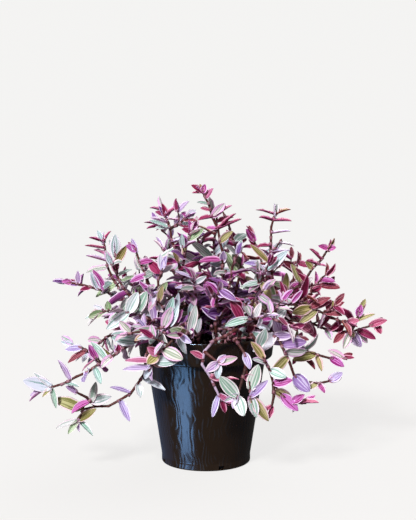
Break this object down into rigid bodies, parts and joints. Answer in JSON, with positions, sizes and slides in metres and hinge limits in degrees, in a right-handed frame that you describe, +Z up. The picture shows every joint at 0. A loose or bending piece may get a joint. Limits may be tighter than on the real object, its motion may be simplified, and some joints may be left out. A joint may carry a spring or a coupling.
{
  "type": "potted tradescantia",
  "caption": "Bushy variegated tradescantia with striped mint, mauve and brick-red leaves, its stems arching and trailing over the rim of a glossy black nursery pot.",
  "frame": {"origin": "centre of the pot's flat underside, on the surface that it stands on", "axes": "+Z up, -Y towards the plant's front, +X to the right seen from the front"},
  "size_m": [0.361, 0.2152, 0.2852],
  "materials": {
    "pot_plastic": "glossy black",
    "potting_soil": "damp crumbly soil",
    "mint_leaf": "satin leaf, white stripes",
    "mauve_leaf": "satin leaf, lilac stripes",
    "brick_leaf": "satin leaf, olive stripes"
  },
  "bodies": {
    "root": {"pot": "pot_plastic", "soil": "potting_soil", "stem_left_long_trailer": "mint_leaf", "stem_left_front_trailer": "mint_leaf", "stem_left_arch": "mauve_leaf", "stem_left_front_arch": "mint_leaf", "stem_left_upright": "mint_leaf", "stem_left_inner_upright": "mint_leaf", "stem_left_crown_upright": "mauve_leaf", "stem_centre_left_tall": "mauve_leaf", "stem_centre_tallest": "mauve_leaf", "stem_centre_right_tall": "mauve_leaf", "stem_right_inner_tall": "brick_leaf", "stem_right_upright": "mint_leaf", "stem_centre_front_upright": "mauve_leaf", "stem_centre_left_upright": "mauve_leaf", "stem_left_front_crown": "mint_leaf", "stem_right_arch": "brick_leaf", "stem_right_level_arch": "brick_leaf", "stem_right_long_trailer": "brick_leaf", "stem_right_front_arch": "brick_leaf", "stem_right_low_trailer": "brick_leaf", "stem_right_front_trailer": "mauve_leaf", "stem_front_right_trailer": "mauve_leaf", "stem_front_centre_trailer": "mauve_leaf", "stem_front_mint_trailer": "mint_leaf", "stem_front_left_trailer": "mint_leaf", "stem_left_low_arch": "mint_leaf", "stem_right_low_arch": "mint_leaf", "stem_right_crown_upright": "mint_leaf", "stem_right_back_upright": "brick_leaf", "stem_back_tall": "mauve_leaf", "stem_back_right_tall": "mauve_leaf", "stem_back_left_tall": "mint_leaf", "stem_back_left_arch": "mint_leaf", "stem_back_right_arch": "brick_leaf", "stem_back_right_crown": "brick_leaf", "stem_back_crown": "mauve_leaf", "stem_back_left_crown": "mint_leaf", "stem_back_left_low": "mint_leaf", "stem_front_left_crown": "mauve_leaf", "stem_front_crown": "mauve_leaf", "stem_front_right_crown": "mauve_leaf", "stem_left_crown": "mint_leaf", "stem_right_crown": "brick_leaf", "stem_centre_back_tall": "mauve_leaf", "stem_back_low_right": "brick_leaf", "stem_back_low": "mauve_leaf", "stem_left_back_low": "mint_leaf", "stem_right_back_low": "brick_leaf", "stem_back_right_trailer": "brick_leaf", "stem_back_trailer": "mauve_leaf", "stem_back_left_trailer": "mint_leaf", "stem_left_back_trailer": "mint_leaf", "stem_left_side_trailer": "mint_leaf"}
  },
  "joints": []
}
